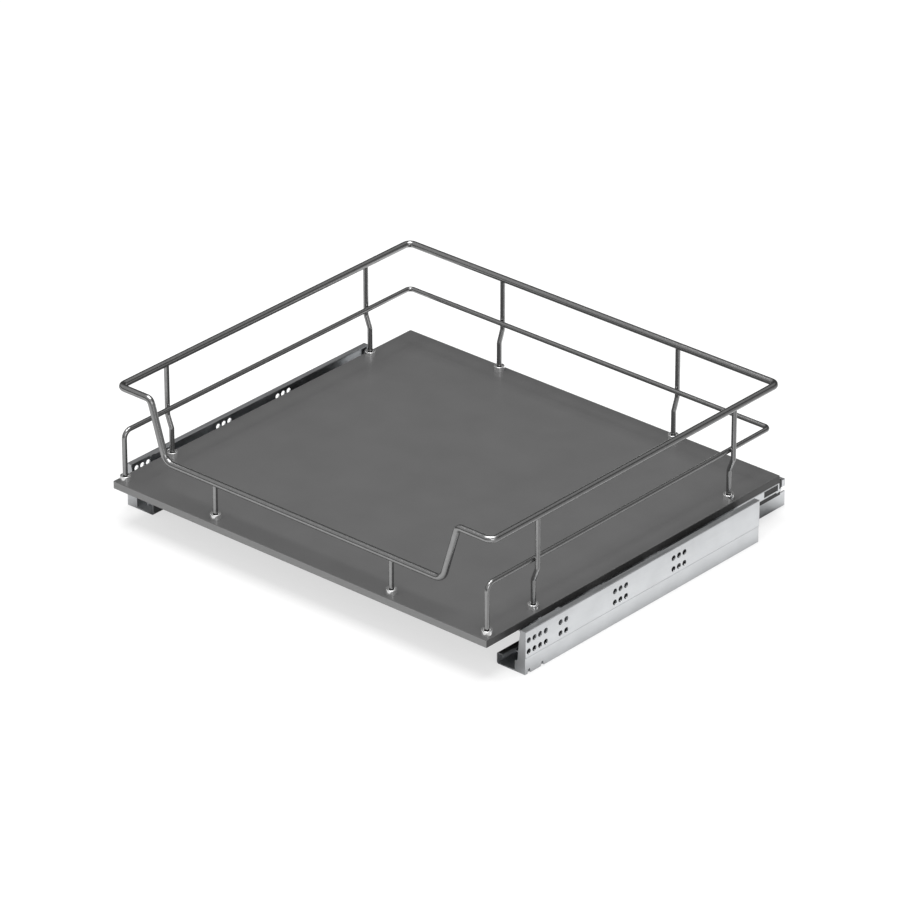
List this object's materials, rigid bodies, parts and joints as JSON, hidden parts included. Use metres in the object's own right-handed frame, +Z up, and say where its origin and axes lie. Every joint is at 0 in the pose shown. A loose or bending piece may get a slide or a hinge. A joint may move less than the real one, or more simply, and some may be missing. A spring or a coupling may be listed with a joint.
{
  "type": "pull-out tray drawer",
  "caption": "Flat pull-out tray with a wire gallery rail, dipped in front, on a pair of concealed full-extension soft-close runners that screw to the cabinet's side walls.",
  "frame": {"origin": "middle of the footprint, on the surface that the runners' floors stand on", "axes": "+Z up, front of the tray faces -Y, +X to the right seen from the front; the flanges' outer faces look to +X and -X"},
  "size_m": [0.568, 0.507, 0.1659],
  "materials": {
    "board": "smooth satin dark grey laminate, no grain",
    "rail_wire": "glossy dark metallic coat, with long highlights along the wire",
    "foot_chrome": "polished",
    "runner_zinc": "satin zinc plate",
    "screw_zinc": "bright zinc plate",
    "cage_plastic": "fine matt",
    "roller_plastic": "smooth",
    "guide_plastic": "fine matt black",
    "clip_plastic": "fine matt dark grey",
    "lever_plastic": "fine matt mid grey",
    "cylinder_steel": "drawn tube, satin",
    "plunger_plastic": "smooth",
    "spring_steel": "bright wire",
    "bumper_rubber": "matt black"
  },
  "bodies": {
    "cabinet_side": {"left_cabinet_profile": "runner_zinc", "left_damper_housing": "guide_plastic", "left_damper_cylinder": "cylinder_steel", "left_damper_spring": "spring_steel", "left_rear_bumper": "bumper_rubber", "right_cabinet_profile": "runner_zinc", "right_damper_housing": "guide_plastic", "right_damper_cylinder": "cylinder_steel", "right_damper_spring": "spring_steel", "right_rear_bumper": "bumper_rubber"},
    "drawer": {"base_board": "board", "top_rail": "rail_wire", "mid_rail": "rail_wire", "post_left_front": "rail_wire", "post_left_back": "rail_wire", "post_back_left": "rail_wire", "post_back_right": "rail_wire", "post_right_front": "rail_wire", "post_right_back": "rail_wire", "post_front_left": "rail_wire", "post_front_right": "rail_wire", "foot_ferrules": "foot_chrome", "foot_screws": "screw_zinc", "clip_screws": "screw_zinc", "rear_screws": "screw_zinc", "left_drawer_profile": "runner_zinc", "left_soft_close_catch": "clip_plastic", "left_rear_guide": "guide_plastic", "left_locking_clip": "clip_plastic", "left_lever_pin": "screw_zinc", "right_drawer_profile": "runner_zinc", "right_soft_close_catch": "clip_plastic", "right_rear_guide": "guide_plastic", "right_locking_clip": "clip_plastic", "right_lever_pin": "screw_zinc"},
    "left_middle": {"left_middle_profile": "runner_zinc"},
    "left_lower_cage": {"left_lower_carriage": "cage_plastic", "left_lower_rollers": "roller_plastic"},
    "left_upper_cage": {"left_upper_carriage": "cage_plastic", "left_upper_rollers": "roller_plastic"},
    "left_plunger": {"left_damper_plunger": "plunger_plastic"},
    "left_lever": {"left_release_lever": "lever_plastic"},
    "right_middle": {"right_middle_profile": "runner_zinc"},
    "right_lower_cage": {"right_lower_carriage": "cage_plastic", "right_lower_rollers": "roller_plastic"},
    "right_upper_cage": {"right_upper_carriage": "cage_plastic", "right_upper_rollers": "roller_plastic"},
    "right_plunger": {"right_damper_plunger": "plunger_plastic"},
    "right_lever": {"right_release_lever": "lever_plastic"}
  },
  "joints": [
    {"name": "drawer_slide", "type": "slide", "parent": "cabinet_side", "child": "drawer", "axis": [0, -1, 0], "range_m": [0, 0.45]},
    {"name": "left_middle_slide", "type": "slide", "parent": "cabinet_side", "child": "left_middle", "axis": [0, -1, 0], "range_m": [0, 0.225]},
    {"name": "left_lower_cage_slide", "type": "slide", "parent": "cabinet_side", "child": "left_lower_cage", "axis": [0, -1, 0], "range_m": [0, 0.1125]},
    {"name": "left_upper_cage_slide", "type": "slide", "parent": "cabinet_side", "child": "left_upper_cage", "axis": [0, -1, 0], "range_m": [0, 0.3375]},
    {"name": "left_plunger_slide", "type": "slide", "parent": "cabinet_side", "child": "left_plunger", "axis": [0, -1, 0], "range_m": [0, 0.04]},
    {"name": "left_release_hinge", "type": "hinge", "parent": "drawer", "child": "left_lever", "pos_m": [-0.232, -0.1735, 0.0319], "axis": [0, 0, -1], "range_deg": [0, 12], "stiffness_Nm_per_rad": 0.05},
    {"name": "right_middle_slide", "type": "slide", "parent": "cabinet_side", "child": "right_middle", "axis": [0, -1, 0], "range_m": [0, 0.225]},
    {"name": "right_lower_cage_slide", "type": "slide", "parent": "cabinet_side", "child": "right_lower_cage", "axis": [0, -1, 0], "range_m": [0, 0.1125]},
    {"name": "right_upper_cage_slide", "type": "slide", "parent": "cabinet_side", "child": "right_upper_cage", "axis": [0, -1, 0], "range_m": [0, 0.3375]},
    {"name": "right_plunger_slide", "type": "slide", "parent": "cabinet_side", "child": "right_plunger", "axis": [0, -1, 0], "range_m": [0, 0.04]},
    {"name": "right_release_hinge", "type": "hinge", "parent": "drawer", "child": "right_lever", "pos_m": [0.232, -0.1735, 0.0319], "axis": [0, 0, 1], "range_deg": [0, 12], "stiffness_Nm_per_rad": 0.05}
  ],
  "couplings": [
    {"joint": "left_middle_slide", "follows": "drawer_slide", "ratio": 0.5},
    {"joint": "left_lower_cage_slide", "follows": "drawer_slide", "ratio": 0.25},
    {"joint": "left_upper_cage_slide", "follows": "drawer_slide", "ratio": 0.75},
    {"joint": "left_plunger_slide", "follows": "drawer_slide", "ratio": 0.0888},
    {"joint": "right_middle_slide", "follows": "drawer_slide", "ratio": 0.5},
    {"joint": "right_lower_cage_slide", "follows": "drawer_slide", "ratio": 0.25},
    {"joint": "right_upper_cage_slide", "follows": "drawer_slide", "ratio": 0.75},
    {"joint": "right_plunger_slide", "follows": "drawer_slide", "ratio": 0.0888}
  ]
}
